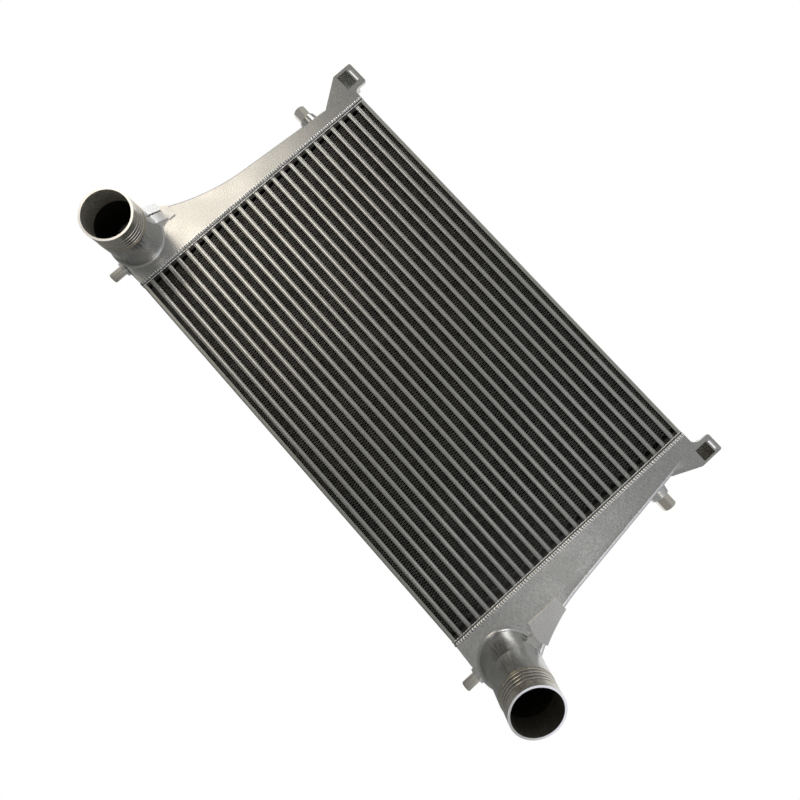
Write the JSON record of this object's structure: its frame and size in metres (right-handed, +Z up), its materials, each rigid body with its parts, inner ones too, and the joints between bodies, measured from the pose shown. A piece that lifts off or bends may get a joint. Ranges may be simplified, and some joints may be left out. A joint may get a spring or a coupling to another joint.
{
  "type": "intercooler",
  "caption": "Bar and plate charge air cooler: a finned core between two cast end tanks with hose ports, clip ears and locating pins.",
  "frame": {"origin": "midway between the two locating pins, on the plane of the pads that they stand on, at the middle of the core's depth", "axes": "+X along the core from the left tank to the right tank, -Y towards the hose ports, +Z up towards the clip ears"},
  "size_m": [0.8689, 0.1603, 0.4642],
  "materials": {
    "cast_tank": "satin",
    "machined": "satin",
    "bar": "satin",
    "sheet": "satin",
    "fin": "matte",
    "plate": "satin",
    "weld": "gloss"
  },
  "bodies": {
    "root": {"left_tank": "cast_tank", "left_hex_boss": "machined", "left_locating_pin": "machined", "left_tank_weld": "weld", "left_end_bars": "bar", "right_tank": "cast_tank", "right_hex_boss": "machined", "right_locating_pin": "machined", "right_tank_weld": "weld", "right_end_bars": "bar", "top_side_plate": "plate", "bottom_side_plate": "plate", "front_long_bars": "bar", "rear_long_bars": "bar", "parting_sheets": "sheet", "charge_air_fins": "fin", "ambient_fin_row_01": "fin", "ambient_fin_row_02": "fin", "ambient_fin_row_03": "fin", "ambient_fin_row_04": "fin", "ambient_fin_row_05": "fin", "ambient_fin_row_06": "fin", "ambient_fin_row_07": "fin", "ambient_fin_row_08": "fin", "ambient_fin_row_09": "fin", "ambient_fin_row_10": "fin", "ambient_fin_row_11": "fin", "ambient_fin_row_12": "fin", "ambient_fin_row_13": "fin", "ambient_fin_row_14": "fin", "ambient_fin_row_15": "fin", "ambient_fin_row_16": "fin", "ambient_fin_row_17": "fin", "ambient_fin_row_18": "fin", "ambient_fin_row_19": "fin", "ambient_fin_row_20": "fin", "ambient_fin_row_21": "fin", "ambient_fin_row_22": "fin", "ambient_fin_row_23": "fin", "ambient_fin_row_24": "fin", "ambient_fin_row_25": "fin", "ambient_fin_row_26": "fin"}
  },
  "joints": []
}
